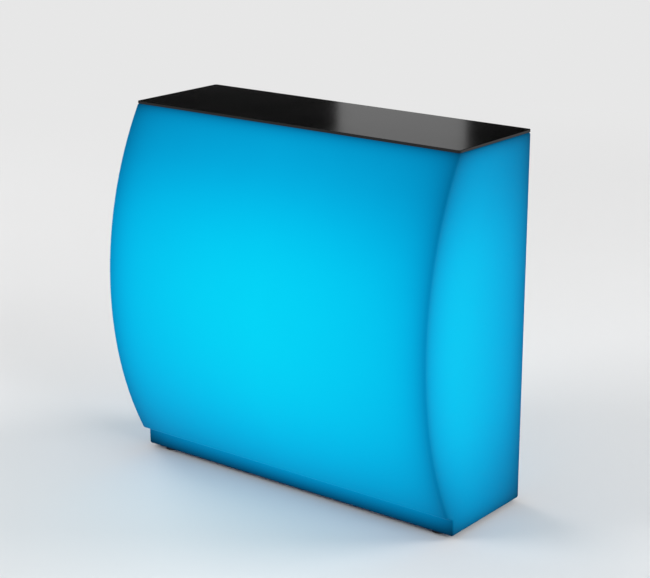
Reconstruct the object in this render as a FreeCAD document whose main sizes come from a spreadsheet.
# Illuminated bar counter, in millimetres.
# X runs along the width, -Y is the bulging front, +Y the barman's side, +Z is up.
# The origin is on the floor, in the middle of the counter's footprint.
import FreeCAD, Part
import math
import os
import re
import Sketcher

# Driving dimensions
driving = {
    # Overall form of the moulded body and its worktop
    "counter_width": 1194.0,
    "counter_depth": 520.0,
    "counter_height": 1150.0,
    "worktop_thickness": 8.0,
    "bulge_reach": 150.0,
    "crest_share": 0.514,
    "heel_height": 78.0,
    "plinth_top": 62.0,
    "plinth_setback": 158.0,
    "floor_gap": 12.0,
    "wall": 6.0,
    "edge_round": 8.0,
    "heel_round": 10.0,
    "step_round": 9.0,
    "near": 3.0,
    "overrun": 4.0,
    # The lip that the recess liner is screwed to
    "lip_reach": 16.0,
    "seat_gap": 0.6,
    "seat_corner": 2.0,
    "liner_screw_rows": 4,
    "liner_screw_across": 200.0,
    "liner_screw_length": 14.0,
    # The barman's recess and its shelf ledges
    "recess_side": 78.0,
    "recess_floor": 130.0,
    "recess_drop": 92.0,
    "front_hollow": 250.0,
    "recess_round": 22.0,
    "deep_round": 12.0,
    "ledge_share": 0.487,
    "ledge_thickness": 36.0,
    "ledge_reach": 24.0,
    # Worktop and what holds it
    "worktop_corner": 8.0,
    "worktop_arris": 0.8,
    "insert_fit": 0.05,
    "thread_gap": 0.05,
    "hole_gap": 0.25,
    "top_insert_radius": 4.0,
    "top_insert_length": 6.0,
    "top_screw_radius": 2.5,
    "top_screw_bite": 4.5,
    "top_head_radius": 4.75,
    "top_head_height": 3.3,
    "washer_radius": 7.0,
    "washer_thickness": 1.0,
    "spacer_radius": 12.0,
    "spacer_columns": 3,
    "spacer_side_gap": 89.0,
    "spacer_front_gap": 72.0,
    "spacer_back_gap": 68.0,
    # Flanged nuts behind a wall, and the countersunk screws that go into them
    "nut_radius": 3.6,
    "nut_flange_radius": 7.0,
    "nut_flange": 1.5,
    "nut_sink": 0.5,
    "panel_screw_radius": 2.5,
    "panel_head_radius": 5.0,
    "panel_head_height": 2.6,
    # Shelf
    "shelf_thickness": 12.0,
    "shelf_side_gap": 1.5,
    "shelf_back_gap": 17.0,
    "shelf_front_gap": 14.0,
    "shelf_corner": 6.0,
    "shelf_screw_inset": 40.0,
    "shelf_screw_length": 20.0,
    # Service hatch
    "hatch_width": 440.0,
    "hatch_height": 260.0,
    "hatch_sink": 20.0,
    "hatch_gap": 1.0,
    "hatch_lap": 26.0,
    "hatch_corner": 18.0,
    "hatch_thickness": 4.0,
    "gasket_thickness": 1.5,
    "hatch_screw_inset": 12.0,
    "hatch_screw_columns": 4,
    "hatch_screw_length": 13.0,
    "hatch_rib": 4.0,
    "hatch_rib_height": 6.0,
    # Light bars
    "bar_width": 24.0,
    "bar_height": 9.0,
    "bar_floor": 3.0,
    "bar_side": 2.0,
    "long_bar_gap": 138.0,
    "short_bar_gap": 188.0,
    "upper_bar_drop": 208.0,
    "lower_bar_rise": 55.0,
    "diffuser_wall": 1.5,
    "cap_thickness": 2.0,
    "board_gap": 0.3,
    "board_thickness": 1.6,
    "board_end_gap": 6.0,
    "chip_side": 5.0,
    "chip_height": 1.4,
    "chip_pitch": 50.0,
    "bar_screw_inset": 60.0,
    "bar_screw_count": 2,
    "bar_screw_radius": 2.0,
    "bar_head_radius": 4.0,
    "bar_head_height": 2.2,
    # Power supply, colour receiver and terminal block, on the hatch
    "post_radius": 5.0,
    "post_height": 8.0,
    "driver_middle": -75.0,
    "driver_length": 190.0,
    "driver_height": 66.0,
    "driver_depth": 38.0,
    "driver_up": 40.0,
    "case_wall": 1.6,
    "case_lid": 2.0,
    "lid_lip": 5.0,
    "lid_gap": 0.3,
    "ear": 14.0,
    "ear_thickness": 2.0,
    "circuit_up": 5.0,
    "circuit_gap": 2.0,
    "circuit_thickness": 1.6,
    "receiver_middle": 110.0,
    "receiver_length": 84.0,
    "receiver_height": 44.0,
    "receiver_depth": 20.0,
    "receiver_up": 48.0,
    "terminal_middle": 110.0,
    "terminal_up": -45.0,
    "terminal_length": 62.0,
    "terminal_height": 24.0,
    "terminal_depth": 17.0,
    "terminal_poles": 5,
    "terminal_pitch": 11.0,
    "terminal_bore": 2.6,
    "terminal_well": 3.4,
    # Leads in the hollow, and the clips that hold them off the liner
    "mains_radius": 3.5,
    "mains_bend": 28.0,
    "mains_rise": 22.0,
    "light_radius": 2.0,
    "light_bend": 12.0,
    "light_rise": 16.0,
    "light_step": 14.0,
    "light_drop": 27.0,
    "link_depth": 11.0,
    "link_up": 8.0,
    "lead_bite": 6.0,
    "lead_gap": 0.1,
    "clip_width": 8.0,
    "clip_side": 2.5,
    # Small screws
    "small_screw_radius": 2.0,
    "small_screw_length": 8.0,
    "small_head_radius": 3.6,
    "small_head_height": 2.4,
    # Power inlet with its fuse drawer and switch
    "pocket_inset": 177.0,
    "pocket_height": 78.0,
    "pocket_width": 112.0,
    "pocket_tall": 74.0,
    "pocket_depth": 32.0,
    "pocket_round": 10.0,
    "inlet_flange_width": 46.0,
    "inlet_flange_tall": 72.0,
    "inlet_flange": 2.5,
    "inlet_gasket": 1.0,
    "inlet_corner": 4.0,
    "inlet_body_width": 28.0,
    "inlet_body_tall": 54.0,
    "inlet_body_depth": 34.0,
    "inlet_cut_gap": 0.5,
    "inlet_screw_inset": 4.6,
    "inlet_screw_radius": 1.5,
    "inlet_screw_length": 10.5,
    "inlet_head_radius": 2.8,
    "inlet_head_height": 1.5,
    "inlet_nut_radius": 2.4,
    "inlet_nut_flange_radius": 4.0,
    "inlet_nut_flange": 1.0,
    "socket_width": 24.4,
    "socket_tall": 16.8,
    "socket_depth": 17.0,
    "socket_drop": 15.3,
    "socket_round": 4.0,
    "pin_wide": 2.0,
    "pin_tall": 4.0,
    "pin_shy": 1.5,
    "pin_tail": 8.0,
    "pin_spread": 7.0,
    "earth_rise": 2.5,
    "line_drop": 2.0,
    "drawer_width": 23.0,
    "drawer_tall": 7.0,
    "drawer_length": 23.0,
    "drawer_gap": 0.3,
    "drawer_lip": 1.6,
    "drawer_lip_over": 0.9,
    "drawer_floor": 1.2,
    "drawer_finger": 3.0,
    "fuse_radius": 2.5,
    "fuse_length": 20.0,
    "fuse_gap": 0.15,
    "fuse_first": 6.0,
    "fuse_pitch": 9.0,
    "switch_rise": 15.2,
    "switch_width": 21.4,
    "switch_tall": 17.0,
    "switch_depth": 16.0,
    "rocker_gap": 0.4,
    "rocker_sink": 3.5,
    "rocker_back": 3.0,
    "rocker_swing": 20.0,
    "trunnion_radius": 1.5,
    "trunnion_length": 1.2,
    "trunnion_gap": 0.1,
    # Levelling feet and breather
    "foot_side_inset": 70.0,
    "foot_setback": 198.0,
    "foot_back_inset": 45.0,
    "foot_radius": 24.0,
    "foot_edge": 4.0,
    "foot_collar_radius": 12.0,
    "foot_collar_top": 11.7,
    "foot_socket": 4.0,
    "stem_radius": 4.9,
    "stem_length": 44.0,
    "stem_gap": 0.1,
    "foot_insert_radius": 8.0,
    "foot_insert_length": 30.0,
    "foot_boss_radius": 15.0,
    "foot_boss_height": 56.0,
    "breather_across": 300.0,
    "breather_back": 60.0,
    "breather_radius": 5.0,
    "breather_flange_radius": 9.0,
    "breather_flange": 2.0,
}

# Sizes worked out from others: each name stands for its meaning, and may use the names above it
worked_out = {
    "crest_height": "(crest_share * counter_height)",
    "top_depth": "(counter_depth - bulge_reach)",
    "plinth_depth": "(counter_depth - plinth_setback)",
    "recess_depth": "(counter_depth - front_hollow)",
    "recess_half": "(counter_width / 2 - recess_side)",
    "recess_ceiling": "(counter_height - recess_drop)",
    "ledge_top": "(ledge_share * counter_height)",
    "hatch_middle": "((recess_floor + ledge_top) / 2 - hatch_sink)",
    "spacer_pitch": "(recess_half - spacer_side_gap)",
    "spacer_back": "(counter_depth / 2 - recess_depth + spacer_front_gap)",
    "spacer_row_pitch": "(recess_depth - spacer_front_gap - spacer_back_gap)",
    "bar_long": "(2 * recess_half - long_bar_gap)",
    "bar_short": "(recess_ceiling - recess_floor - short_bar_gap)",
    "upper_bar_height": "(recess_ceiling - upper_bar_drop)",
    "lower_bar_height": "(hatch_middle + hatch_height / 2 + lower_bar_rise)",
    "side_bar_middle": "((recess_floor + recess_ceiling) / 2)",
    "side_bar_back": "((counter_depth - recess_depth) / 2)",
    "pocket_middle": "(pocket_inset - counter_width / 2)",
    "foot_across": "(counter_width / 2 - foot_side_inset)",
    "foot_front": "(counter_depth / 2 - foot_setback)",
    "foot_back": "(counter_depth / 2 - foot_back_inset)",
}

document = FreeCAD.newDocument("bar_counter")
sheet = document.addObject("Spreadsheet::Sheet", "sizes")
for line, (alias, size) in enumerate(driving.items(), start=1):
    sheet.set("A%d" % line, alias)
    sheet.set("B%d" % line, str(size))
    sheet.setAlias("B%d" % line, alias)
document.recompute()

# Places that several pieces share, as expressions in the sheet's sizes
BACK = "(counter_depth / 2)"
HALF = "(counter_width / 2)"
DECK = "(counter_height - worktop_thickness)"
TOP_FRONT = "(counter_depth / 2 - top_depth)"
PLINTH_FRONT = "(counter_depth / 2 - plinth_depth)"
DEEP = "(counter_depth / 2 - recess_depth)"
CREST_RISE = "(%s - crest_height)" % DECK
CREST_REACH = "(counter_depth - top_depth)"
BULGE = "((pow(%s; 2) + pow(%s; 2)) / (2 * %s))" % (CREST_REACH, CREST_RISE, CREST_REACH)
LEDGE_MIDDLE = "(recess_half - ledge_reach / 2 + wall / 2)"
LIP_FACE = "(%s - wall)" % BACK
REBATE = "(hatch_thickness + gasket_thickness)"
HATCH_SEAT = "(%s - %s)" % (DEEP, REBATE)
HATCH_INSIDE = "(%s - hatch_thickness)" % DEEP
POCKET_FLOOR = "(%s - pocket_depth)" % BACK
INLET_FACE = "(%s + inlet_gasket + inlet_flange)" % POCKET_FLOOR

UPRIGHT = FreeCAD.Rotation()
TURNS = {
    "+Z": UPRIGHT,
    "-Z": FreeCAD.Rotation(FreeCAD.Vector(1, 0, 0), 180),
    "+Y": FreeCAD.Rotation(FreeCAD.Vector(1, 0, 0), -90),
    "-Y": FreeCAD.Rotation(FreeCAD.Vector(1, 0, 0), 90),
    "+X": FreeCAD.Rotation(FreeCAD.Vector(0, 1, 0), 90),
    "-X": FreeCAD.Rotation(FreeCAD.Vector(0, 1, 0), -90),
}
subparts = []


# Small helpers
def spelled_out(expression):
    """Put the meaning of each worked-out size in place of its name."""
    for name in reversed(worked_out):
        expression = re.sub(r"\b%s\b" % name, worked_out[name], expression)
    return expression


def in_sheet(expression):
    """Write an expression in the sheet's own aliases."""
    return re.sub(r"[a-z][a-z_]+(?!\w|\()", lambda word: "sizes." + word.group(0), spelled_out(expression))


def value(expression):
    """Work an expression out as a number."""
    return float(sheet.evalExpression(spelled_out(expression)))


def bind(item, path, expression):
    """Tie one property of an item to the sheet."""
    item.setExpression(path, in_sheet(expression))


def place(item, at, turn=UPRIGHT):
    """Put an item at a point given by three expressions, turned as a whole."""
    item.Placement = FreeCAD.Placement(FreeCAD.Vector(), turn)
    for axis, expression in zip("xyz", at):
        bind(item, "Placement.Base." + axis, expression)


def keep(item, name):
    """Name a finished sub-part and keep it for the hand-out."""
    item.Label = name
    subparts.append(item)
    return item


# Primitives and booleans
def block(name, corner, size):
    """Plain block from its lowest corner and its three sides."""
    item = document.addObject("Part::Box", name)
    for side, length in zip(("Length", "Width", "Height"), size):
        bind(item, side, length)
    place(item, corner)
    return item


def rod(name, foot, along, radius, length):
    """Round rod that starts at its foot and runs along one axis."""
    item = document.addObject("Part::Cylinder", name)
    bind(item, "Radius", radius)
    bind(item, "Height", length)
    place(item, foot, TURNS[along])
    return item


def union(name, pieces):
    """Fuse several items."""
    item = document.addObject("Part::MultiFuse", name)
    item.Shapes = pieces
    return item


def minus(name, base, tools):
    """Cut one item, or several at once, out of a base."""
    item = document.addObject("Part::Cut", name)
    item.Base = base
    item.Tool = tools[0] if len(tools) == 1 else union(name + "_tools", tools)
    return item


def group(name, pieces):
    """Keep separate solids together as one sub-part."""
    item = document.addObject("Part::Compound", name)
    item.Links = pieces
    return item


# Bodies, sketches and features
def new_body(name, at=("0", "0", "0"), turn=UPRIGHT):
    """Start a body at its place."""
    body = document.addObject("PartDesign::Body", name)
    place(body, at, turn)
    return body


def origin_part(body, role):
    """One of a body's own origin planes or axes."""
    return next(part for part in body.Origin.OriginFeatures if part.Role == role)


def new_sketch(body, plane, offset="0"):
    """Sketch on an origin plane of the body, moved along the plane's normal."""
    sketch = body.newObject("Sketcher::SketchObject", body.Name + "_sketch")
    sketch.AttachmentSupport = [(origin_part(body, plane), "")]
    sketch.MapMode = "FlatFace"
    bind(sketch, "AttachmentOffset.Base.z", offset)
    return sketch


def hold(sketch, kind, edge, vertex, expression):
    """Hold one vertex at a distance from the sketch's origin."""
    number = sketch.addConstraint(Sketcher.Constraint(kind, -1, 1, edge, vertex, value(expression)))
    bind(sketch, "Constraints[%d]" % number, expression)


def outline(sketch, corners):
    """Closed outline of straight lines through corners given as pairs of expressions."""
    points = [FreeCAD.Vector(value(across), value(up), 0) for across, up in corners]
    first = sketch.GeometryCount
    count = len(points)
    for number in range(count):
        sketch.addGeometry(Part.LineSegment(points[number], points[(number + 1) % count]), False)
    for number, (across, up) in enumerate(corners):
        after = first + (number + 1) % count
        sketch.addConstraint(Sketcher.Constraint("Coincident", first + number, 2, after, 1))
        hold(sketch, "DistanceX", first + number, 1, across)
        hold(sketch, "DistanceY", first + number, 1, up)


def rectangle(sketch, left, right, low, high):
    """Outline of a rectangle between four expressions."""
    outline(sketch, [(left, low), (right, low), (right, high), (left, high)])


def finish(body, feature):
    """Make a feature the body's tip and work it out."""
    body.Tip = feature
    document.recompute()
    return feature


def pad(body, sketch, length, both_ways=False, backwards=False):
    """Raise a sketch into a solid."""
    feature = body.newObject("PartDesign::Pad", body.Name + "_pad")
    feature.Profile = sketch
    feature.Midplane = both_ways
    feature.Reversed = backwards
    bind(feature, "Length", length)
    return finish(body, feature)


def pocket(body, sketch, length, backwards=False):
    """Cut a sketch into the solid, and prove that it removed something."""
    before = body.Shape.Volume
    feature = body.newObject("PartDesign::Pocket", body.Name + "_pocket")
    feature.Profile = sketch
    feature.Reversed = backwards
    bind(feature, "Length", length)
    finish(body, feature)
    if not body.Shape.Volume < before:
        raise ValueError("pocket of %s cuts nothing" % body.Name)
    return feature


def turned(body, corners, pattern=None):
    """Turn an outline of (radius, height) pairs about the body's Z axis, and repeat it as a pattern."""
    sketch = new_sketch(body, "XZ_Plane")
    outline(sketch, corners)
    feature = body.newObject("PartDesign::Revolution", body.Name + "_turned")
    feature.Profile = sketch
    feature.ReferenceAxis = (sketch, ["V_Axis"])
    feature.Angle = 360
    finish(body, feature)
    if pattern:
        columns, pitch, rows, row_span = pattern
        copies = body.newObject("PartDesign::LinearPattern", body.Name + "_copies")
        copies.Originals = [feature]
        copies.Direction = (origin_part(body, "X_Axis"), [""])
        copies.Mode = "Spacing"
        bind(copies, "Occurrences", columns)
        bind(copies, "Offset", pitch)
        if rows != "1":
            copies.Direction2 = (origin_part(body, "Y_Axis"), [""])
            bind(copies, "Occurrences2", rows)
            bind(copies, "Length2", row_span)
        finish(body, copies)
    return body


def edges_where(feature, test):
    """Names of the edges whose ends pass a test."""
    names = []
    for number, edge in enumerate(feature.Shape.Edges, start=1):
        if test(edge):
            names.append("Edge%d" % number)
    return names


def runs_along(direction):
    """Test for a straight edge parallel to a direction."""
    def test(edge):
        if edge.Curve.TypeId != "Part::GeomLine":
            return False
        return abs(abs(edge.Curve.Direction.dot(direction)) - 1) < 1e-6
    return test


def soften(body, feature, names, radius, kind="Fillet"):
    """Round or chamfer the named edges of a feature."""
    item = body.newObject("PartDesign::" + kind, body.Name + "_" + kind.lower())
    item.Base = (feature, names)
    bind(item, "Radius" if kind == "Fillet" else "Size", radius)
    return finish(body, item)


def plate(name, plane, offset, sides, thickness, corner=None, backwards=False):
    """Rectangular plate with rounded corners: sides are left, right, low and high in its plane."""
    body = new_body(name)
    sketch = new_sketch(body, plane, offset)
    rectangle(sketch, *sides)
    feature = pad(body, sketch, thickness, backwards=backwards)
    if corner:
        normal = {"XY_Plane": FreeCAD.Vector(0, 0, 1), "XZ_Plane": FreeCAD.Vector(0, 1, 0)}[plane]
        soften(body, feature, edges_where(feature, runs_along(normal)), corner)
    return body


# The moulded body
def side_profile(name, inset, half_length, back_inset="0"):
    """Solid between the counter's sides whose outline is drawn inwards by an inset."""
    body = new_body(name)
    sketch = new_sketch(body, "YZ_Plane")
    back = "%s - %s" % (BACK, back_inset)
    bottom = "floor_gap + " + inset
    plinth = "%s + %s" % (PLINTH_FRONT, inset)
    step = "plinth_top + " + inset
    heel = "heel_height + " + inset
    top = "%s - %s" % (DECK, inset)
    radius = "%s - %s" % (BULGE, inset)
    middle = "%s - counter_depth + %s" % (BACK, BULGE)
    centre = FreeCAD.Vector(value(middle), value("crest_height"), 0)
    sweep = value(radius)
    top_angle = math.pi - math.asin((value(top) - centre.y) / sweep)
    heel_angle = math.pi + math.asin((centre.y - value(heel)) / sweep)
    circle = Part.Circle(centre, FreeCAD.Vector(0, 0, 1), sweep)
    bulge = Part.ArcOfCircle(circle, top_angle, heel_angle)
    low_back = FreeCAD.Vector(value(back), value(bottom), 0)
    high_back = FreeCAD.Vector(value(back), value(top), 0)
    toe = FreeCAD.Vector(value(plinth), value(step), 0)
    foot = FreeCAD.Vector(value(plinth), value(bottom), 0)
    sketch.addGeometry(Part.LineSegment(low_back, high_back), False)
    sketch.addGeometry(Part.LineSegment(high_back, bulge.StartPoint), False)
    sketch.addGeometry(bulge, False)
    sketch.addGeometry(Part.LineSegment(bulge.EndPoint, toe), False)
    sketch.addGeometry(Part.LineSegment(toe, foot), False)
    sketch.addGeometry(Part.LineSegment(foot, low_back), False)
    for number, start in ((0, 1), (1, 1), (2, 1), (3, 1), (4, 1), (5, 1)):
        sketch.addConstraint(Sketcher.Constraint("Coincident", (number - 1) % 6, 2, number, start))
    for edge, vertex, across, up in (
        (0, 1, back, bottom),
        (0, 2, back, top),
        (1, 2, None, top),
        (2, 3, middle, "crest_height"),
        (3, 1, None, heel),
        (3, 2, plinth, step),
        (4, 2, plinth, bottom),
    ):
        if across:
            hold(sketch, "DistanceX", edge, vertex, across)
        hold(sketch, "DistanceY", edge, vertex, up)
    number = sketch.addConstraint(Sketcher.Constraint("Radius", 2, sweep))
    bind(sketch, "Constraints[%d]" % number, radius)
    pad(body, sketch, "2 * " + half_length, both_ways=True)
    return body


def outer_form():
    """The outside of the body, with its softened edges."""
    body = side_profile("outer_form", "0", HALF)
    across = runs_along(FreeCAD.Vector(1, 0, 0))
    heel = value("heel_height")
    toe = value("plinth_top")
    near = value("near")
    base = body.Tip
    names = edges_where(base, lambda edge: across(edge) and abs(edge.CenterOfMass.z - heel) < near)
    base = soften(body, base, names, "heel_round")
    names = edges_where(base, lambda edge: across(edge) and abs(edge.CenterOfMass.z - toe) < near)
    base = soften(body, base, names, "step_round")
    top = value(DECK)
    bottom = value("floor_gap")

    def rim(edge):
        height = edge.CenterOfMass.z
        return across(edge) and min(abs(height - top), abs(height - bottom)) < near

    def seam(edge):
        box = edge.BoundBox
        return box.XLength < near and abs(abs(box.XMin) - value(HALF)) < near

    names = edges_where(base, lambda edge: rim(edge) or seam(edge))
    soften(body, base, names, "edge_round")
    return body


def back_plate(name, inset, depth, corner):
    """Plate as large as the back less an inset, from beyond the back to a depth."""
    half = "(%s - (%s))" % (HALF, inset)
    return plate(name, "XZ_Plane", "-(%s + overrun)" % BACK,
                 ("-" + half, half, "floor_gap + (%s)" % inset, "%s - (%s)" % (DECK, inset)),
                 depth + " + overrun", corner)


def recess_core(name, grow, proud):
    """The recess as a block that stands proud of the back, or grown by the wall that wraps it."""
    body = new_body(name + "_block")
    sketch = new_sketch(body, "XZ_Plane", "-(%s + %s)" % (BACK, proud))
    low = "recess_floor - " + grow
    high = "recess_ceiling + " + grow
    half = "(recess_half + %s)" % grow
    rectangle(sketch, "-" + half, half, low, high)
    feature = pad(body, sketch, "recess_depth + %s + %s" % (proud, grow))
    names = edges_where(feature, runs_along(FreeCAD.Vector(0, 1, 0)))
    feature = soften(body, feature, names, "recess_round + " + grow)
    deep = value(DEEP) - value(grow)
    names = edges_where(feature, lambda edge: abs(edge.BoundBox.YMax - deep) < value("near"))
    soften(body, feature, names, "deep_round + " + grow)
    ledge_low = "ledge_top - ledge_thickness + " + grow
    ledge_tall = "ledge_thickness - 2 * " + grow
    ledge_deep = "recess_depth + 2 * overrun + " + grow
    start = "%s - %s - overrun / 2" % (DEEP, grow)
    ledges = []
    for side, corner in (("left", "-%s - overrun" % half), ("right", "%s - ledge_reach" % half)):
        ledges.append(block(name + "_ledge_" + side, (corner, start, ledge_low),
                            ("ledge_reach + overrun", ledge_deep, ledge_tall)))
    core = minus(name + "_notched", body, ledges)
    rebate = plate(name + "_rebate", "XZ_Plane", "-%s" % DEEP,
                   ("-hatch_width / 2 - hatch_gap - " + grow, "hatch_width / 2 + hatch_gap + " + grow,
                    "hatch_middle - hatch_height / 2 - hatch_gap - " + grow,
                    "hatch_middle + hatch_height / 2 + hatch_gap + " + grow),
                   "%s + %s" % (REBATE, grow), "hatch_corner + hatch_gap + " + grow)
    return union(name, [core, rebate])


def inlet_pocket(name, grow, proud):
    """The rounded pocket low in the back, or grown by the wall that wraps it."""
    half = "(pocket_width / 2 + %s)" % grow
    tall = "(pocket_tall / 2 + %s)" % grow
    return plate(name, "XZ_Plane", "-(%s + %s)" % (BACK, proud),
                 ("pocket_middle - " + half, "pocket_middle + " + half,
                  "pocket_height - " + tall, "pocket_height + " + tall),
                 "pocket_depth + %s + %s" % (proud, grow), "pocket_round + " + grow)


# Outlines of turned pieces, as (radius, height) pairs from the piece's foot
def ring(outer, inner, length):
    """Plain ring."""
    return [(inner, "0"), (outer, "0"), (outer, length), (inner, length)]


def bar_stock(radius, length, start="0"):
    """Plain round bar."""
    return [("0", start), (radius, start), (radius, length), ("0", length)]


def sunk_screw(head_radius, head_height, radius, length):
    """Countersunk screw, head at the foot."""
    return [("0", "0"), (head_radius, "0"), (radius, head_height), (radius, length), ("0", length)]


def sunk_hole(head_radius, head_height, radius, length):
    """Hole for a countersunk screw, with a gap round the shank."""
    wide = "%s + hole_gap" % radius
    return [("0", "-overrun"), (head_radius, "-overrun"), (head_radius, "0"), (wide, head_height),
            (wide, length), ("0", length)]


def flanged_nut(radius, flange_radius, flange, screw_radius):
    """Nut whose barrel sits in a wall that starts at the foot, and whose flange lies behind the wall."""
    bore = screw_radius + " + thread_gap"
    back = "wall + " + flange
    return [(bore, "nut_sink"), (radius, "nut_sink"), (radius, "wall"), (flange_radius, "wall"),
            (flange_radius, back), (bore, back)]


def panel_nut():
    """The flanged nut of the shelf, hatch and liner screws."""
    return flanged_nut("nut_radius", "nut_flange_radius", "nut_flange", "panel_screw_radius")


def nut_hole():
    """Hole through a wall for the barrel of a panel nut."""
    return bar_stock("nut_radius + insert_fit", "wall + overrun", "-overrun")


def washer_screw(length):
    """Pan-head screw with its washer: the washer stands on the foot and the head hangs below."""
    tip = "washer_thickness + " + length
    return [("0", "-top_head_height"), ("top_head_radius", "-top_head_height"), ("top_head_radius", "0"),
            ("washer_radius", "0"), ("washer_radius", "washer_thickness"),
            ("top_screw_radius", "washer_thickness"), ("top_screw_radius", tip), ("0", tip)]


def ear_screw():
    """Small pan-head screw: its shank runs back from the foot and its head stands beyond it."""
    return [("0", "-small_screw_length"), ("small_screw_radius", "-small_screw_length"),
            ("small_screw_radius", "0"), ("small_head_radius", "0"),
            ("small_head_radius", "small_head_height"), ("0", "small_head_height")]


# Rows: where the first copy stands, the way its axis runs, and the pattern of copies
def worktop_row(height):
    """Screw places above the recess, each with its spacer."""
    return (("-(spacer_columns - 1) / 2 * spacer_pitch", "spacer_back", height), "+Z",
            ("spacer_columns", "spacer_pitch", "2", "spacer_row_pitch"))


def liner_rows(back):
    """Screw places round the liner's flange: up both sides, and along the top and bottom."""
    inset = "(wall + lip_reach / 2)"
    side = "(%s - %s)" % (HALF, inset)
    low = "floor_gap + 2 * lip_reach + " + inset
    tall = "(%s - floor_gap - 4 * lip_reach - 2 * %s)" % (DECK, inset)
    sides = (("-" + side, back, low), "-Y", ("2", "2 * " + side, "liner_screw_rows", tall))
    ends = (("-liner_screw_across", back, "floor_gap + " + inset), "-Y",
            ("2", "2 * liner_screw_across", "2", "%s - floor_gap - 2 * %s" % (DECK, inset)))
    return {"sides": sides, "ends": ends}


def liner_rows_of(name, corners, back):
    """Turned copies at all the liner's screw places."""
    return [row(name + "_" + part, corners, places) for part, places in liner_rows(back).items()]


def shelf_row(height):
    """Screw places in the shelf ledges, from above."""
    pitch = "recess_depth - shelf_back_gap - shelf_front_gap - 2 * shelf_screw_inset"
    return (("-" + LEDGE_MIDDLE, "%s - shelf_front_gap - shelf_screw_inset" % BACK, height), "-Z",
            ("2", "2 * " + LEDGE_MIDDLE, "2", pitch))


def hatch_row(back):
    """Screw places along the hatch's long edges."""
    return (("-hatch_width / 2 + hatch_screw_inset", back,
             "hatch_middle - hatch_height / 2 + hatch_screw_inset"), "-Y",
            ("hatch_screw_columns", "(hatch_width - 2 * hatch_screw_inset) / (hatch_screw_columns - 1)",
             "2", "hatch_height - 2 * hatch_screw_inset"))


def inlet_row(back):
    """Screw places above and below the power inlet."""
    return (("pocket_middle", back, "pocket_height - inlet_flange_tall / 2 + inlet_screw_inset"), "-Y",
            ("1", "inlet_flange_width", "2", "inlet_flange_tall - 2 * inlet_screw_inset"))


def foot_row(height):
    """Places of the four feet."""
    return (("-foot_across", "-foot_front", height), "+Z",
            ("2", "2 * foot_across", "2", "foot_front + foot_back"))


def ear_row(unit, back):
    """Screw places at the ears of a unit on the hatch."""
    middle, up, length, height, rows = units[unit]
    low = "hatch_middle + %s - (%s - 1) * (%s - ear) / 2" % (up, rows, height)
    return (("%s - (%s + ear) / 2" % (middle, length), back, low), "-Y",
            ("2", "%s + ear" % length, rows, "%s - ear" % height))


def bar_row(bar):
    """Screw places along a light bar, from the recess wall."""
    first, turn, length = bar[1:4]
    pitch = "(%s - 2 * bar_screw_inset) / (bar_screw_count - 1)" % length
    return first, turn, ("bar_screw_count", pitch, "1", "bar_width")


def row(name, corners, places):
    """Turned copies at a row's places."""
    at, along, pattern = places
    return turned(new_body(name, at, TURNS[along]), corners, pattern)


# Units on the hatch: middle, height over the hatch's middle, length, height and rows of ear screws
units = {
    "driver": ("driver_middle", "driver_up", "driver_length", "driver_height", "2"),
    "receiver": ("receiver_middle", "receiver_up", "receiver_length", "receiver_height", "1"),
    "terminal": ("terminal_middle", "terminal_up", "terminal_length", "terminal_height", "1"),
}

# Light bars: middle, first screw, the way they face and their length
LONG_REACH = "(bar_long / 2 - bar_screw_inset)"
SHORT_REACH = "(bar_short / 2 - bar_screw_inset)"
bars = {
    "upper": (("0", DEEP, "upper_bar_height"),
              ("-" + LONG_REACH, DEEP, "upper_bar_height"), "-Y", "bar_long"),
    "lower": (("0", DEEP, "lower_bar_height"),
              ("-" + LONG_REACH, DEEP, "lower_bar_height"), "-Y", "bar_long"),
    "left": (("-recess_half", "side_bar_back", "side_bar_middle"),
             ("-recess_half", "side_bar_back", "side_bar_middle - " + SHORT_REACH), "-X", "bar_short"),
    "right": (("recess_half", "side_bar_back", "side_bar_middle"),
              ("recess_half", "side_bar_back", "side_bar_middle + " + SHORT_REACH), "+X", "bar_short"),
}


def make_shell():
    """Outer moulding: bulged front, sides, top and bottom, open at the back inside a screwing lip."""
    bosses = row("foot_bosses", bar_stock("foot_boss_radius", "foot_boss_height"), foot_row("floor_gap"))
    inside = side_profile("inner_form", "wall", "(%s - wall)" % HALF, "2 * wall")
    tools = [
        minus("hollow", inside, [bosses]),
        back_plate("liner_seat", "edge_round", "wall", "seat_corner"),
        back_plate("lip_window", "wall + lip_reach", "2 * wall + overrun", "seat_corner"),
        row("deck_holes", bar_stock("top_screw_radius + hole_gap", "wall + 2 * overrun"),
            worktop_row("%s - wall - overrun" % DECK)),
        row("foot_holes", bar_stock("foot_insert_radius + insert_fit", "foot_insert_length", "-overrun"),
            foot_row("floor_gap")),
        row("stem_holes", bar_stock("stem_radius + 4 * hole_gap", "foot_boss_height - wall", "-overrun"),
            foot_row("floor_gap")),
        rod("breather_hole", ("breather_across", "breather_back", "floor_gap - overrun"), "+Z",
            "breather_radius", "wall + 2 * overrun"),
    ]
    tools += liner_rows_of("lip_holes", nut_hole(), LIP_FACE)
    keep(minus("shell", outer_form(), tools), "body_shell")


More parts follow.
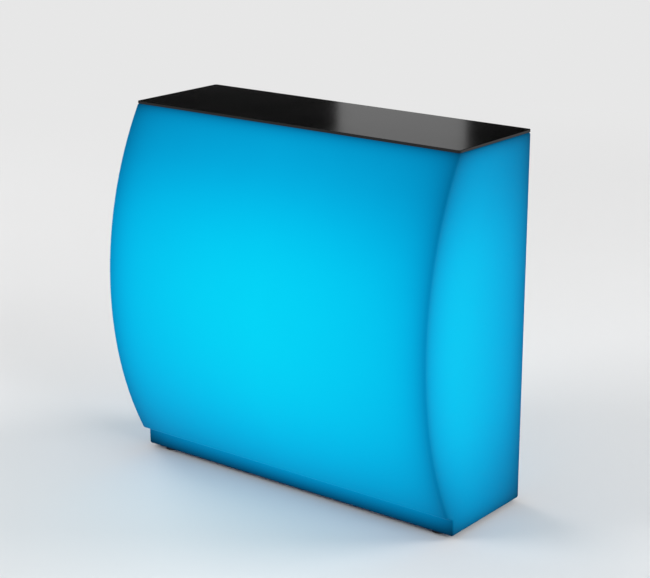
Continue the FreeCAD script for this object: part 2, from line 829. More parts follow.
def make_liner():
    """Liner that closes the back: a flange round the recess, its shelf ledges and the inlet's pocket."""
    flange = back_plate("liner_flange", "edge_round + seat_gap", "wall", "seat_corner")
    beyond = block("beyond_back", ("-counter_width", BACK, "0"),
                   ("2 * counter_width", "2 * overrun", "counter_height"))
    blank = union("liner_blank", [flange, recess_core("recess_sleeve", "wall", "0"),
                                  inlet_pocket("pocket_sleeve", "wall", "0")])
    window_half = "(hatch_width / 2 - hatch_lap)"
    window_tall = "(hatch_height / 2 - hatch_lap)"
    hatch_window = plate("hatch_window", "XZ_Plane", "-(%s)" % DEEP,
                         ("-" + window_half, window_half,
                          "hatch_middle - " + window_tall, "hatch_middle + " + window_tall),
                         "%s + wall + overrun" % REBATE, "hatch_corner")
    inlet_half = "(inlet_body_width / 2 + inlet_cut_gap)"
    inlet_tall = "(inlet_body_tall / 2 + inlet_cut_gap)"
    inlet_window = block("inlet_window", ("pocket_middle - " + inlet_half,
                                          "%s - wall - overrun" % POCKET_FLOOR,
                                          "pocket_height - " + inlet_tall),
                         ("2 * " + inlet_half, "wall + 2 * overrun", "2 * " + inlet_tall))
    drilled = [
        row("spacer_holes", bar_stock("top_screw_radius + hole_gap", "wall + 2 * overrun"),
            worktop_row("recess_ceiling - overrun")),
        row("shelf_holes", nut_hole(), shelf_row("ledge_top")),
        row("hatch_holes", nut_hole(), hatch_row(HATCH_SEAT)),
        row("inlet_holes", bar_stock("inlet_nut_radius + insert_fit", "wall + overrun", "-overrun"),
            inlet_row(POCKET_FLOOR)),
    ]
    drilled += liner_rows_of("flange_holes", sunk_hole("panel_head_radius", "panel_head_height",
                                                       "panel_screw_radius", "wall + overrun"), BACK)
    for name, bar in bars.items():
        bar_hole = sunk_hole("bar_head_radius", "bar_head_height", "bar_screw_radius", "wall + overrun")
        drilled.append(row("bar_holes_" + name, bar_hole, bar_row(bar)))
    tools = [beyond, recess_core("recess_core", "0", "overrun"), inlet_pocket("pocket_core", "0", "overrun"),
             hatch_window, inlet_window] + drilled
    keep(minus("liner", blank, tools), "recess_liner")
    screws = liner_rows_of("liner_screw", sunk_screw("panel_head_radius", "panel_head_height",
                                                     "panel_screw_radius", "liner_screw_length"), BACK)
    keep(group("liner_screw_rows", screws), "liner_screws")
    keep(group("liner_nut_rows", liner_rows_of("liner_nut", panel_nut(), LIP_FACE)), "liner_nuts")


def make_worktop():
    """Thin dark slab, level with the body's outline, held from below."""
    body = plate("worktop_slab", "XY_Plane", DECK, ("-" + HALF, HALF, TOP_FRONT, BACK),
                 "worktop_thickness", "worktop_corner")
    top = value("counter_height")
    base = body.Tip
    names = edges_where(base, lambda edge: edge.BoundBox.ZMin > top - value("near"))
    soften(body, base, names, "worktop_arris", "Chamfer")
    seat = bar_stock("top_insert_radius + insert_fit", "top_insert_length + hole_gap", "-overrun")
    blind = row("worktop_blind_holes", seat, worktop_row(DECK))
    keep(minus("worktop_drilled", body, [blind]), "worktop")
    keep(row("worktop_insert_row", ring("top_insert_radius", "top_screw_radius + thread_gap",
                                        "top_insert_length"), worktop_row(DECK)), "worktop_inserts")
    reach = "(%s - recess_ceiling)" % DECK
    keep(row("worktop_screw_row", washer_screw(reach + " + top_screw_bite"),
             worktop_row("recess_ceiling - washer_thickness")), "worktop_screws")
    keep(row("spacer_row", ring("spacer_radius", "top_screw_radius + hole_gap", reach + " - 2 * wall"),
             worktop_row("recess_ceiling + wall")), "deck_spacers")


def make_shelf():
    """Board on the moulded ledges, with countersunk screws into flanged nuts."""
    half = "(recess_half - shelf_side_gap)"
    board = plate("shelf_board", "XY_Plane", "ledge_top",
                  ("-" + half, half, "%s + shelf_back_gap" % DEEP, "%s - shelf_front_gap" % BACK),
                  "shelf_thickness", "shelf_corner")
    top = "ledge_top + shelf_thickness"
    holes = row("shelf_screw_holes", sunk_hole("panel_head_radius", "panel_head_height",
                                               "panel_screw_radius", "shelf_thickness + overrun"),
                shelf_row(top))
    keep(minus("shelf_drilled", board, [holes]), "middle_shelf")
    keep(row("shelf_nut_row", panel_nut(), shelf_row("ledge_top")), "shelf_nuts")
    keep(row("shelf_screw_row", sunk_screw("panel_head_radius", "panel_head_height",
                                           "panel_screw_radius", "shelf_screw_length"), shelf_row(top)),
         "shelf_screws")


def make_hatch():
    """Service hatch in its rebate, on a gasket, with the posts that carry the units."""
    half = "(hatch_width / 2)"
    tall = "(hatch_height / 2)"
    sides = ("-" + half, half, "hatch_middle - " + tall, "hatch_middle + " + tall)
    cover = plate("hatch_plate", "XZ_Plane", "-(%s)" % DEEP, sides, "hatch_thickness", "hatch_corner")
    rib_half = "(hatch_width / 2 - hatch_lap - hatch_gap)"
    rib_tall = "(hatch_height / 2 - hatch_lap - hatch_gap)"
    rib_deep = "hatch_rib_height + hatch_thickness"
    rib_outside = plate("hatch_rib_outside", "XZ_Plane", "-(%s)" % DEEP,
                        ("-" + rib_half, rib_half, "hatch_middle - " + rib_tall,
                         "hatch_middle + " + rib_tall), rib_deep, "hatch_corner")
    rib_inside = plate("hatch_rib_inside", "XZ_Plane", "-(%s - overrun)" % DEEP,
                       ("-(%s - hatch_rib)" % rib_half, "%s - hatch_rib" % rib_half,
                        "hatch_middle - %s + hatch_rib" % rib_tall,
                        "hatch_middle + %s - hatch_rib" % rib_tall),
                       rib_deep + " + 2 * overrun", "hatch_corner - hatch_rib")
    rib = minus("hatch_rib_frame", rib_outside, [rib_inside])
    posts = []
    pilots = []
    for unit in units:
        posts.append(row("posts_" + unit, bar_stock("post_radius", "post_height", "-hatch_thickness / 2"),
                         ear_row(unit, HATCH_INSIDE)))
        pilots.append(row("pilots_" + unit, bar_stock("small_screw_radius + thread_gap",
                                                      "post_height + overrun", "0"),
                          ear_row(unit, HATCH_INSIDE)))
    holes = row("hatch_screw_holes", sunk_hole("panel_head_radius", "panel_head_height",
                                               "panel_screw_radius", "hatch_thickness + overrun"),
                hatch_row(DEEP))
    keep(minus("hatch_drilled", union("hatch_moulded", [cover, rib] + posts), [holes] + pilots),
         "hatch_cover")
    frame = plate("gasket_outside", "XZ_Plane", "-(%s)" % HATCH_INSIDE, sides, "gasket_thickness",
                  "hatch_corner")
    window = plate("gasket_inside", "XZ_Plane", "-(%s + overrun)" % HATCH_INSIDE,
                   ("-(%s - hatch_lap)" % half, "%s - hatch_lap" % half,
                    "hatch_middle - %s + hatch_lap" % tall, "hatch_middle + %s - hatch_lap" % tall),
                   "gasket_thickness + 2 * overrun", "hatch_corner")
    ports = row("gasket_holes", bar_stock("panel_screw_radius + hole_gap", "gasket_thickness + overrun",
                                          "-overrun"), hatch_row(HATCH_INSIDE))
    keep(minus("gasket_cut", frame, [window, ports]), "hatch_gasket")
    keep(row("hatch_nut_row", panel_nut(), hatch_row(HATCH_SEAT)), "hatch_nuts")
    keep(row("hatch_screw_row", sunk_screw("panel_head_radius", "panel_head_height",
                                           "panel_screw_radius", "hatch_screw_length"), hatch_row(DEEP)),
         "hatch_screws")


UNIT_BACK = "(%s - post_height)" % HATCH_INSIDE

# Planes, levels and ends that the leads share with the units
LIGHT_PLANE = "(%s - terminal_depth / 2)" % UNIT_BACK
MAINS_PLANE = "(%s - driver_depth / 2)" % UNIT_BACK
LINK_PLANE = "(%s - link_depth)" % UNIT_BACK
DRIVER_START = "(driver_middle - driver_length / 2)"
DRIVER_END = "(driver_middle + driver_length / 2)"
DRIVER_LEVEL = "(hatch_middle + driver_up)"
LINK_LEVEL = "(hatch_middle + driver_up + link_up)"
RECEIVER_START = "(receiver_middle - receiver_length / 2)"
RECEIVER_LOW = "(hatch_middle + receiver_up - receiver_height / 2)"

# Components of the power supply: place and width as shares of its length, cans as shares of its height
component_shares = {"transformer": (-0.02, 0.2), "inductor": (0.24, 0.12), "regulator": (-0.2, 0.08)}
can_across_share = -0.33
can_up_share = 0.2
can_radius_share = 0.13


def cased_unit(unit, depth, entries):
    """Tray with ears on the hatch's posts, holes for its leads, and the lid that closes it."""
    middle, up, length, height, rows = units[unit]
    half = "(%s / 2)" % length
    tall = "(%s / 2)" % height
    level = "hatch_middle + " + up

    def box(name, inset, start, deep):
        sides = ("%s - %s + (%s)" % (middle, half, inset), "%s + %s - (%s)" % (middle, half, inset),
                 "%s - %s + (%s)" % (level, tall, inset), "%s + %s - (%s)" % (level, tall, inset))
        return plate(name, "XZ_Plane", "-(%s)" % start, sides, deep, "case_wall")

    tray = box(unit + "_outside", "0", UNIT_BACK, depth)
    well = box(unit + "_inside", "case_wall", "%s - case_wall" % UNIT_BACK, depth)
    ears = block(unit + "_ears", ("%s - %s - ear" % (middle, half), "%s - ear_thickness" % UNIT_BACK,
                                  "%s - %s" % (level, tall)),
                 ("%s + 2 * ear" % length, "ear_thickness", height))
    holes = row(unit + "_ear_holes", bar_stock("small_screw_radius + hole_gap",
                                               "ear_thickness + overrun", "-overrun"),
                ear_row(unit, UNIT_BACK))
    ports = []
    for number, (foot, along, radius) in enumerate(entries):
        ports.append(rod("%s_entry_%d" % (unit, number), foot, along, radius + " + lead_gap",
                         "case_wall + 2 * overrun"))
    keep(minus(unit + "_tray", union(unit + "_shell", [tray, ears]), [well, holes] + ports), unit + "_case")
    mouth = "%s - %s" % (UNIT_BACK, depth)
    cap = box(unit + "_cap", "0", mouth, "case_lid")
    lip_outside = box(unit + "_lip_outside", "case_wall + lid_gap", "%s + lid_lip" % mouth, "lid_lip")
    lip_inside = box(unit + "_lip_inside", "2 * case_wall + lid_gap", "%s + lid_lip + overrun" % mouth,
                     "lid_lip + overrun")
    keep(minus(unit + "_lipped", union(unit + "_cap_and_lip", [cap, lip_outside]), [lip_inside]),
         unit + "_lid")


def make_units():
    """Power supply, colour receiver and terminal block on the hatch's posts."""
    cased_unit("driver", "driver_depth",
               [(("%s - overrun" % DRIVER_START, MAINS_PLANE, DRIVER_LEVEL), "+X", "mains_radius"),
                (("%s + overrun" % DRIVER_END, LINK_PLANE, LINK_LEVEL), "-X", "light_radius")])
    cased_unit("receiver", "receiver_depth",
               [(("%s - overrun" % RECEIVER_START, LINK_PLANE, LINK_LEVEL), "+X", "light_radius"),
                (("terminal_middle", LIGHT_PLANE, "%s - overrun" % RECEIVER_LOW), "+Z", "light_radius")])
    middle, up, length, height, rows = units["driver"]
    face = "(%s - case_wall)" % UNIT_BACK
    inset = "(case_wall + circuit_gap)"
    board = block("driver_circuit", ("%s - %s / 2 + %s" % (middle, length, inset),
                                     "%s - circuit_up - circuit_thickness" % face,
                                     "hatch_middle + %s - %s / 2 + %s" % (up, height, inset)),
                  ("%s - 2 * %s" % (length, inset), "circuit_thickness", "%s - 2 * %s" % (height, inset)))
    pillars = row("driver_pillars", bar_stock("small_head_radius", "circuit_up + circuit_thickness / 2"),
                  (("%s - %s / 2 + ear" % (middle, length), face,
                    "hatch_middle + %s - %s / 2 + ear" % (up, height)), "-Y",
                   ("2", "%s - 2 * ear" % length, "2", "%s - 2 * ear" % height)))
    top = "%s - circuit_up - circuit_thickness / 2" % face
    tall = "(driver_depth - case_wall - circuit_up - circuit_thickness - lid_lip - lid_gap)"
    parts = [board, pillars]
    for name, (across_share, width_share) in component_shares.items():
        parts.append(block("driver_" + name,
                           ("%s + %g * %s" % (middle, across_share, length), "%s - %s" % (top, tall),
                            "hatch_middle + %s - %s / 4" % (up, height)),
                           ("%g * %s" % (width_share, length), tall, "%s / 2" % height)))
    for name, sign in (("low", "-"), ("high", "+")):
        parts.append(rod("driver_capacitor_" + name,
                         ("%s + %g * %s" % (middle, can_across_share, length), top,
                          "hatch_middle + %s %s %g * %s" % (up, sign, can_up_share, height)),
                         "-Y", "%g * %s" % (can_radius_share, height), tall))
    keep(union("driver_populated", parts), "driver_board")
    middle, up, length, height, rows = units["terminal"]
    level = "hatch_middle + " + up
    base = block("terminal_base", ("%s - %s / 2" % (middle, length), "%s - terminal_depth" % UNIT_BACK,
                                   "%s - %s / 2" % (level, height)),
                 (length, "terminal_depth", height))
    ears = block("terminal_ears", ("%s - %s / 2 - ear" % (middle, length), "%s - ear_thickness" % UNIT_BACK,
                                   "%s - %s / 2" % (level, height)),
                 ("%s + 2 * ear" % length, "ear_thickness", height))
    first = "%s - (terminal_poles - 1) / 2 * terminal_pitch" % middle
    bores = turned(new_body("terminal_bores", (first, "%s - terminal_depth / 2" % UNIT_BACK,
                                               "%s - %s / 2 - overrun" % (level, height)), TURNS["+Z"]),
                   bar_stock("terminal_bore", "%s + 2 * overrun" % height),
                   ("terminal_poles", "terminal_pitch", "1", "terminal_pitch"))
    wells = turned(new_body("terminal_wells", (first, "%s - terminal_depth - overrun" % UNIT_BACK, level),
                            TURNS["+Y"]),
                   bar_stock("terminal_well", "terminal_depth / 2 + overrun"),
                   ("terminal_poles", "terminal_pitch", "1", "terminal_pitch"))
    holes = row("terminal_ear_holes", bar_stock("small_screw_radius + hole_gap", "ear_thickness + overrun",
                                                "-overrun"), ear_row("terminal", UNIT_BACK))
    keep(minus("terminal_drilled", union("terminal_blank", [base, ears]), [bores, wells, holes]),
         "terminal_block")
    ear_face = "%s - ear_thickness" % UNIT_BACK
    keep(group("unit_screw_rows", [row("screws_" + unit, ear_screw(), ear_row(unit, ear_face))
                                   for unit in units]), "unit_screws")


def bar_body(name, bar):
    """Body in a light bar's own frame: X along it, Z from the recess wall into the hollow."""
    return new_body(name, bar[0], TURNS[bar[2]])


def half_round(sketch, radius, base, inner=None):
    """Half disc above a base line, or half ring if an inner radius is given."""
    height = value(base)
    centre = FreeCAD.Vector(0, height, 0)
    first = sketch.GeometryCount
    radii = [radius] + ([inner] if inner else [])
    for number, expression in enumerate(radii):
        circle = Part.Circle(centre, FreeCAD.Vector(0, 0, 1), value(expression))
        sketch.addGeometry(Part.ArcOfCircle(circle, 0, math.pi), False)
        arc = first + number
        hold(sketch, "DistanceX", arc, 3, "0")
        hold(sketch, "DistanceY", arc, 3, base)
        hold(sketch, "DistanceY", arc, 1, base)
        hold(sketch, "DistanceY", arc, 2, base)
        held = sketch.addConstraint(Sketcher.Constraint("Radius", arc, value(expression)))
        bind(sketch, "Constraints[%d]" % held, expression)
    outer = value(radius)
    if not inner:
        return outer
    within = value(inner)
    joins = ((first, 1, outer, first + 1, 1, within), (first, 2, -outer, first + 1, 2, -within))
    for arc, vertex, across, other, other_vertex, other_across in joins:
        line = sketch.GeometryCount
        sketch.addGeometry(Part.LineSegment(FreeCAD.Vector(across, height, 0),
                                            FreeCAD.Vector(other_across, height, 0)), False)
        sketch.addConstraint(Sketcher.Constraint("Coincident", line, 1, arc, vertex))
        sketch.addConstraint(Sketcher.Constraint("Coincident", line, 2, other, other_vertex))
    return outer


def make_bar(name, bar):
    """One light bar: aluminium channel, board with its chips, opal diffuser and two end caps."""
    length = bar[3]
    half = "(bar_width / 2)"
    low = "wall"
    floor = "(wall + bar_floor)"
    high = "(wall + bar_height)"
    lip = "(%s - bar_side)" % half
    channel = bar_body("bar_channel_" + name, bar)
    sketch = new_sketch(channel, "YZ_Plane")
    outline(sketch, [("-" + half, low), (half, low), (half, high), (lip, high), (lip, floor),
                     ("-" + lip, floor), ("-" + lip, high), ("-" + half, high)])
    pad(channel, sketch, length, both_ways=True)
    holes = row("bar_threads_" + name, bar_stock("bar_screw_radius + thread_gap",
                                                 "wall + bar_floor + overrun"), bar_row(bar))
    keep(minus("bar_tapped_" + name, channel, [holes]), "led_channel_" + name)
    board = bar_body("bar_board_" + name, bar)
    sketch = new_sketch(board, "YZ_Plane")
    side = "(%s - board_gap)" % lip
    top = "(%s + board_thickness)" % floor
    rectangle(sketch, "-" + side, side, floor, top)
    pad(board, sketch, "%s - 2 * board_end_gap" % length, both_ways=True)
    count = "floor((%s - 2 * chip_pitch) / chip_pitch)" % length
    first = "(-(%s - 1) / 2 * chip_pitch)" % count
    sketch = new_sketch(board, "XY_Plane", top)
    rectangle(sketch, "%s - chip_side / 2" % first, "%s + chip_side / 2" % first,
              "-chip_side / 2", "chip_side / 2")
    chip = pad(board, sketch, "chip_height")
    chips = board.newObject("PartDesign::LinearPattern", board.Name + "_chips")
    chips.Originals = [chip]
    chips.Direction = (origin_part(board, "X_Axis"), [""])
    chips.Mode = "Spacing"
    bind(chips, "Occurrences", count)
    bind(chips, "Offset", "chip_pitch")
    finish(board, chips)
    keep(board, "led_board_" + name)
    diffuser = bar_body("bar_diffuser_" + name, bar)
    sketch = new_sketch(diffuser, "YZ_Plane")
    half_round(sketch, half, high, "%s - diffuser_wall" % half)
    pad(diffuser, sketch, length, both_ways=True)
    keep(diffuser, "led_diffuser_" + name)
    caps = bar_body("bar_caps_" + name, bar)
    sketch = new_sketch(caps, "YZ_Plane", "-%s / 2 - cap_thickness" % length)
    reach = half_round(sketch, half, high)
    base = value(low)
    corners = [FreeCAD.Vector(-reach, value(high), 0), FreeCAD.Vector(-reach, base, 0),
               FreeCAD.Vector(reach, base, 0), FreeCAD.Vector(reach, value(high), 0)]
    for number in range(3):
        sketch.addGeometry(Part.LineSegment(corners[number], corners[number + 1]), False)
    for edge, vertex, other, other_vertex in ((1, 1, 0, 2), (1, 2, 2, 1), (2, 2, 3, 1), (3, 2, 0, 1)):
        sketch.addConstraint(Sketcher.Constraint("Coincident", edge, vertex, other, other_vertex))
    for edge, across in ((2, "-" + half), (3, half)):
        hold(sketch, "DistanceX", edge, 1, across)
        hold(sketch, "DistanceY", edge, 1, low)
    cap = pad(caps, sketch, "cap_thickness")
    pair = caps.newObject("PartDesign::LinearPattern", caps.Name + "_pair")
    pair.Originals = [cap]
    pair.Direction = (origin_part(caps, "X_Axis"), [""])
    pair.Mode = "Spacing"
    pair.Occurrences = 2
    bind(pair, "Offset", "%s + cap_thickness" % length)
    finish(caps, pair)
    keep(caps, "led_caps_" + name)
    return row("bar_screws_" + name, sunk_screw("bar_head_radius", "bar_head_height", "bar_screw_radius",
                                                "wall + bar_floor"), bar_row(bar))


def lead(name, radius, bend, corners):
    """Round lead of straight runs along the axes, joined by quarter turns at its corners."""
    runs = []
    for start, end in zip(corners, corners[1:]):
        axis = next(number for number in range(3) if start[number] != end[number])
        sign = "+" if value(end[axis]) > value(start[axis]) else "-"
        runs.append((axis, sign))
    pieces = []
    for number, (axis, sign) in enumerate(runs):
        foot = list(corners[number])
        ahead = (corners[number + 1][axis], foot[axis])
        length = "(%s) - (%s)" % (ahead if sign == "+" else ahead[::-1])
        if number > 0:
            foot[axis] = "%s %s %s" % (foot[axis], sign, bend)
            length += " - " + bend
        if number < len(runs) - 1:
            length += " - " + bend
        pieces.append(rod("%s_run_%d" % (name, number), foot, sign + "XYZ"[axis], radius, length))
    for number in range(1, len(runs)):
        before, before_sign = runs[number - 1]
        after, after_sign = runs[number]
        centre = list(corners[number])
        centre[before] = "%s %s %s" % (centre[before], "-" if before_sign == "+" else "+", bend)
        centre[after] = "%s %s %s" % (centre[after], after_sign, bend)
        came = TURNS[before_sign + "XYZ"[before]].multVec(FreeCAD.Vector(0, 0, 1))
        goes = TURNS[after_sign + "XYZ"[after]].multVec(FreeCAD.Vector(0, 0, 1))
        turn = document.addObject("Part::Torus", "%s_turn_%d" % (name, number))
        turn.Angle3 = 90
        bind(turn, "Radius1", bend)
        bind(turn, "Radius2", radius)
        place(turn, centre, FreeCAD.Rotation(-goes, came, came.cross(goes)))
        pieces.append(turn)
    return union(name, pieces) if len(pieces) > 1 else pieces[0]


def clip(name, radius, middle, out, stand, run):
    """Clip that stands on the liner: a block with a hole for the lead, which runs along one axis."""
    corner = []
    size = []
    for axis, letter in enumerate("XYZ"):
        reach = "(%s + clip_side)" % radius
        if letter == run:
            corner.append("%s - clip_width / 2" % middle[axis])
            size.append("clip_width")
        elif letter == out[1]:
            corner.append("%s - %s" % (middle[axis], stand if out[0] == "+" else reach))
            size.append("%s + %s" % (stand, reach))
        else:
            corner.append("%s - %s" % (middle[axis], reach))
            size.append("2 * " + reach)
    foot = list(middle)
    axis = "XYZ".index(run)
    foot[axis] = "%s - clip_width / 2 - overrun" % middle[axis]
    hole = rod(name + "_hole", foot, "+" + run, radius + " + lead_gap", "clip_width + 2 * overrun")
    return minus(name, block(name + "_block", corner, size), [hole])


def make_leads():
    """Mains lead from inlet to power supply, light leads to the bars, and the clips that hold them."""
    outside = "(%s - wall)" % DEEP
    underside = "(recess_floor - wall)"
    inlet_back = "(%s + inlet_gasket - inlet_body_depth)" % POCKET_FLOOR
    mains_level = "(pocket_height + mains_rise)"
    keep(lead("mains", "mains_radius", "mains_bend",
              [("pocket_middle", inlet_back, mains_level), ("pocket_middle", MAINS_PLANE, mains_level),
               ("pocket_middle", MAINS_PLANE, DRIVER_LEVEL),
               ("%s + lead_bite" % DRIVER_START, MAINS_PLANE, DRIVER_LEVEL)]), "mains_lead")
    top = "(hatch_middle + terminal_up + terminal_height / 2)"
    bottom = "(hatch_middle + terminal_up - terminal_height / 2)"
    first, inner, outer = ["(terminal_middle %s * terminal_pitch)" % share for share in ("- 2", "+ 1", "+ 2")]
    bar_end = "(bar_long / 2 + cap_thickness)"
    far = "(%s + 2 * light_step)" % bar_end
    near = "(%s + light_step)" % bar_end
    low_turn = "(%s + light_rise)" % top
    high_turn = "(%s + light_rise + light_step)" % top
    bar_low = "(side_bar_middle - bar_short / 2 - cap_thickness)"
    side_level = "(%s - light_drop)" % bar_low
    across = "(recess_half + %s - %s)" % (DEEP, LIGHT_PLANE)
    leads = [
        lead("light_upper", "light_radius", "light_bend",
             [(outer, LIGHT_PLANE, "%s - lead_bite" % top), (outer, LIGHT_PLANE, low_turn),
              (far, LIGHT_PLANE, low_turn), (far, LIGHT_PLANE, "upper_bar_height"),
              (bar_end, LIGHT_PLANE, "upper_bar_height")]),
        lead("light_lower", "light_radius", "light_bend",
             [(inner, LIGHT_PLANE, "%s - lead_bite" % top), (inner, LIGHT_PLANE, high_turn),
              (near, LIGHT_PLANE, high_turn), (near, LIGHT_PLANE, "lower_bar_height"),
              (bar_end, LIGHT_PLANE, "lower_bar_height")]),
        lead("light_link", "light_radius", "light_bend",
             [("%s - lead_bite" % DRIVER_END, LINK_PLANE, LINK_LEVEL),
              ("%s + lead_bite" % RECEIVER_START, LINK_PLANE, LINK_LEVEL)]),
        lead("light_feed", "light_radius", "light_bend",
             [("terminal_middle", LIGHT_PLANE, "%s + lead_bite" % RECEIVER_LOW),
              ("terminal_middle", LIGHT_PLANE, "%s - lead_bite" % top)]),
    ]
    for side, pole, reach in (("right", outer, across), ("left", first, "-" + across)):
        leads.append(lead("light_" + side, "light_radius", "light_bend",
                          [(pole, LIGHT_PLANE, "%s + lead_bite" % bottom), (pole, LIGHT_PLANE, side_level),
                           (reach, LIGHT_PLANE, side_level), (reach, "side_bar_back", side_level),
                           (reach, "side_bar_back", bar_low)]))
    keep(group("light_lead_set", leads), "light_leads")
    beside = "(hatch_width / 2 + %s) / 2" % bar_end
    light_stand = "(%s - %s)" % (outside, LIGHT_PLANE)
    mains_stand = "(%s - %s)" % (outside, MAINS_PLANE)
    clips = [
        clip("clip_far_low", "light_radius", (far, LIGHT_PLANE, "ledge_top - 2 * light_bend"), "-Y",
             light_stand, "Z"),
        clip("clip_far_high", "light_radius", (far, LIGHT_PLANE, "(ledge_top + upper_bar_height) / 2"), "-Y",
             light_stand, "Z"),
        clip("clip_near", "light_radius", (near, LIGHT_PLANE, "hatch_middle + hatch_height / 3"), "-Y",
             light_stand, "Z"),
        clip("clip_low_right", "light_radius", (beside, LIGHT_PLANE, side_level), "-Y",
             light_stand, "X"),
        clip("clip_low_left", "light_radius", ("-" + beside, LIGHT_PLANE, side_level), "-Y",
             light_stand, "X"),
        clip("clip_side_right", "light_radius", (across, "side_bar_back / 2", side_level), "+X",
             light_stand, "Y"),
        clip("clip_side_left", "light_radius", ("-" + across, "side_bar_back / 2", side_level), "-X",
             light_stand, "Y"),
        clip("clip_mains_back", "mains_radius", ("pocket_middle", "side_bar_back", mains_level), "-Z",
             "(%s - %s)" % (underside, mains_level), "Y"),
        clip("clip_mains_front", "mains_radius", ("pocket_middle", "side_bar_back / 4", mains_level), "-Z",
             "(%s - %s)" % (underside, mains_level), "Y"),
        clip("clip_mains_up", "mains_radius", ("pocket_middle", MAINS_PLANE, "hatch_middle"), "-Y",
             mains_stand, "Z"),
    ]
    keep(group("lead_clip_set", clips), "lead_clips")


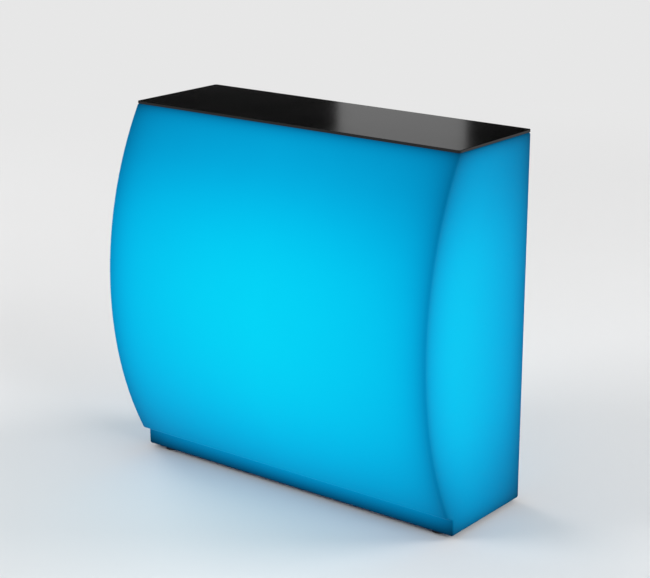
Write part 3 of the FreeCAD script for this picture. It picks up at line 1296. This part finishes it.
def make_inlet():
    """Power inlet in its pocket: housing, gasket, pins, drawer with fuses, switch rocker."""
    middle = "pocket_middle"
    level = "pocket_height"
    half = "(inlet_flange_width / 2)"
    tall = "(inlet_flange_tall / 2)"
    seat = "(%s + inlet_gasket)" % POCKET_FLOOR
    sides = ("%s - %s" % (middle, half), "%s + %s" % (middle, half),
             "%s - %s" % (level, tall), "%s + %s" % (level, tall))
    flange = plate("inlet_flange_plate", "XZ_Plane", "-" + INLET_FACE, sides, "inlet_flange",
                   "inlet_corner")
    trunk = block("inlet_trunk", ("%s - inlet_body_width / 2" % middle, "%s - inlet_body_depth" % seat,
                                  "%s - inlet_body_tall / 2" % level),
                  ("inlet_body_width", "inlet_body_depth", "inlet_body_tall"))
    socket_level = "(%s - socket_drop)" % level
    socket = plate("inlet_socket", "XZ_Plane", "-(%s + overrun)" % INLET_FACE,
                   ("%s - socket_width / 2" % middle, "%s + socket_width / 2" % middle,
                    "%s - socket_tall / 2" % socket_level, "%s + socket_tall / 2" % socket_level),
                   "socket_depth + overrun", "socket_round")
    slot_half = "(drawer_width / 2 + drawer_gap)"
    slot_tall = "(drawer_tall / 2 + drawer_gap)"
    slot = block("drawer_slot", ("%s - %s" % (middle, slot_half),
                                 "%s - drawer_length - drawer_gap" % INLET_FACE,
                                 "%s - %s" % (level, slot_tall)),
                 ("2 * " + slot_half, "drawer_length + drawer_gap + overrun", "2 * " + slot_tall))
    switch_level = "(%s + switch_rise)" % level
    opening = block("switch_opening", ("%s - switch_width / 2" % middle, "%s - switch_depth" % INLET_FACE,
                                       "%s - switch_tall / 2" % switch_level),
                    ("switch_width", "switch_depth + overrun", "switch_tall"))
    pivot = "(%s - rocker_sink)" % INLET_FACE
    bearing_reach = "(switch_width / 2 + trunnion_length + trunnion_gap)"
    bearings = rod("rocker_bearings", ("%s - %s" % (middle, bearing_reach), pivot, switch_level), "+X",
                   "trunnion_radius + trunnion_gap", "2 * " + bearing_reach)
    socket_back = "(%s - socket_depth)" % INLET_FACE
    pins = []
    for name, across, rise in (("earth", "0", "earth_rise"), ("line", "-pin_spread", "-line_drop"),
                               ("neutral", "pin_spread", "-line_drop")):
        pins.append(block("pin_" + name, ("%s + %s - pin_wide / 2" % (middle, across),
                                          "%s - inlet_body_depth - pin_tail" % seat,
                                          "%s + %s - pin_tall / 2" % (socket_level, rise)),
                          ("pin_wide", "inlet_body_depth + pin_tail + inlet_flange - pin_shy", "pin_tall")))
    screws = row("inlet_screw_holes", sunk_hole("inlet_head_radius", "inlet_head_height",
                                                "inlet_screw_radius", "inlet_flange + overrun"),
                 inlet_row(INLET_FACE))
    keep(minus("inlet_cut", union("inlet_blank", [flange, trunk]),
               [socket, slot, opening, bearings, screws] + pins), "inlet_housing")
    keep(group("inlet_pin_set", pins), "inlet_pins")
    pad_plate = plate("inlet_pad", "XZ_Plane", "-" + seat, sides, "inlet_gasket", "inlet_corner")
    pad_window = block("inlet_pad_window", ("%s - inlet_body_width / 2 - inlet_cut_gap" % middle,
                                            "%s - overrun" % POCKET_FLOOR,
                                            "%s - inlet_body_tall / 2 - inlet_cut_gap" % level),
                       ("inlet_body_width + 2 * inlet_cut_gap", "inlet_gasket + 2 * overrun",
                        "inlet_body_tall + 2 * inlet_cut_gap"))
    pad_holes = row("inlet_pad_holes", bar_stock("inlet_screw_radius + hole_gap",
                                                 "inlet_gasket + overrun", "-overrun"), inlet_row(seat))
    keep(minus("inlet_pad_cut", pad_plate, [pad_window, pad_holes]), "inlet_gasket")
    keep(row("inlet_nut_row", flanged_nut("inlet_nut_radius", "inlet_nut_flange_radius",
                                          "inlet_nut_flange", "inlet_screw_radius"),
             inlet_row(POCKET_FLOOR)), "inlet_nuts")
    keep(row("inlet_screw_row", sunk_screw("inlet_head_radius", "inlet_head_height",
                                           "inlet_screw_radius", "inlet_screw_length"),
             inlet_row(INLET_FACE)), "inlet_screws")
    front = "(%s + drawer_gap)" % INLET_FACE
    body = block("drawer_body", ("%s - drawer_width / 2" % middle, "%s - drawer_length" % front,
                                 "%s - drawer_tall / 2" % level),
                 ("drawer_width", "drawer_length", "drawer_tall"))
    lip_half = "(drawer_width / 2 + drawer_lip_over)"
    lip_tall = "(drawer_tall / 2 + drawer_lip_over)"
    lip = block("drawer_lip_plate", ("%s - %s" % (middle, lip_half), front, "%s - %s" % (level, lip_tall)),
                ("2 * " + lip_half, "drawer_lip", "2 * " + lip_tall))
    finger = rod("drawer_finger_notch", ("%s - drawer_finger" % middle,
                                         "%s + drawer_lip" % front, "%s + %s" % (level, lip_tall)),
                 "+X", "drawer_lip", "2 * drawer_finger")
    beds = []
    fuses = []
    for number in range(2):
        inward = "%s - fuse_first - %d * fuse_pitch" % (front, number)
        rest = "(%s - drawer_tall / 2 + drawer_floor + fuse_radius + fuse_gap)" % level
        reach = "(fuse_length / 2 + fuse_gap)"
        bed = rod("fuse_bed_%d" % number, ("%s - %s" % (middle, reach), inward, rest), "+X",
                  "fuse_radius + fuse_gap", "2 * " + reach)
        well = block("fuse_well_%d" % number, ("%s - %s" % (middle, reach),
                                               "%s - fuse_radius - fuse_gap" % inward, rest),
                     ("2 * " + reach, "2 * fuse_radius + 2 * fuse_gap", "drawer_tall"))
        beds += [bed, well]
        fuses.append(rod("fuse_%d" % number, ("%s - fuse_length / 2" % middle, inward,
                                              "%s - fuse_gap" % rest), "+X", "fuse_radius", "fuse_length"))
    keep(minus("drawer_cut", union("drawer_blank", [body, lip]), [finger] + beds), "fuse_drawer")
    keep(group("fuse_pair", fuses), "fuses")
    wheel_radius = "(switch_tall / 2 - rocker_gap)"
    wheel_half = "(switch_width / 2 - rocker_gap)"
    wheel = rod("rocker_wheel", ("%s - %s" % (middle, wheel_half), pivot, switch_level), "+X",
                wheel_radius, "2 * " + wheel_half)
    wedge = new_body("rocker_wedge", (middle, pivot, switch_level))
    sketch = new_sketch(wedge, "YZ_Plane")
    outline(sketch, [("-rocker_back", "-switch_tall"),
                     ("rocker_sink + switch_tall * tan(rocker_swing)", "-switch_tall"),
                     ("rocker_sink", "0"), ("rocker_sink", "switch_tall"),
                     ("-rocker_back", "switch_tall")])
    pad(wedge, sketch, "switch_width", both_ways=True)
    key = document.addObject("Part::Common", "rocker_key")
    key.Base = wheel
    key.Tool = wedge
    trunnion_reach = "(switch_width / 2 + trunnion_length)"
    trunnions = rod("rocker_trunnions", ("%s - %s" % (middle, trunnion_reach), pivot, switch_level), "+X",
                    "trunnion_radius", "2 * " + trunnion_reach)
    keep(union("rocker", [key, trunnions]), "switch_rocker")


def make_feet():
    """Levelling feet: a pad on a threaded stem, in a moulded-in insert."""
    hub = "stem_radius + insert_fit"
    pad_outline = [("0", "0"), ("foot_radius", "0"), ("foot_radius", "foot_edge"),
                   ("foot_collar_radius", "(foot_edge + foot_collar_top) / 2"),
                   ("foot_collar_radius", "foot_collar_top"), (hub, "foot_collar_top"),
                   (hub, "foot_socket"), ("0", "foot_socket")]
    for end, back in (("front", "-foot_front"), ("back", "foot_back")):
        for side, across in (("left", "-foot_across"), ("right", "foot_across")):
            name = "%s_%s" % (end, side)
            keep(turned(new_body("pad_" + name, (across, back, "0")), pad_outline), "foot_pad_" + name)
            keep(rod("stem_" + name, (across, back, "foot_socket"), "+Z", "stem_radius", "stem_length"),
                 "foot_stem_" + name)
    keep(row("foot_insert_row", ring("foot_insert_radius", "stem_radius + stem_gap", "foot_insert_length"),
             foot_row("floor_gap")), "foot_inserts")
    plug = [("0", "-breather_flange"), ("breather_flange_radius", "-breather_flange"),
            ("breather_flange_radius", "0"), ("breather_radius - insert_fit", "0"),
            ("breather_radius - insert_fit", "wall + breather_flange"), ("0", "wall + breather_flange")]
    keep(turned(new_body("breather", ("breather_across", "breather_back", "floor_gap")), plug),
         "breather_plug")


make_shell()
make_liner()
make_worktop()
make_shelf()
make_hatch()
make_units()
bar_screw_rows = [make_bar(name, bar) for name, bar in bars.items()]
keep(group("bar_screw_group", bar_screw_rows), "led_screws")
make_inlet()
make_leads()
make_feet()
document.recompute()

# Nothing is written unless every object and every sub-part is sound
for item in document.Objects:
    if "Invalid" in item.State or "Error" in item.State:
        raise ValueError("%s failed: %s" % (item.Name, item.State))
for item in subparts:
    if item.Shape.isNull() or not item.Shape.isValid():
        raise ValueError("%s has no sound shape" % item.Label)
os.makedirs("parts", exist_ok=True)
for item in subparts:
    item.Shape.exportStep(os.path.join("parts", item.Label + ".step"))
    print(item.Label, len(item.Shape.Solids), round(item.Shape.Volume))
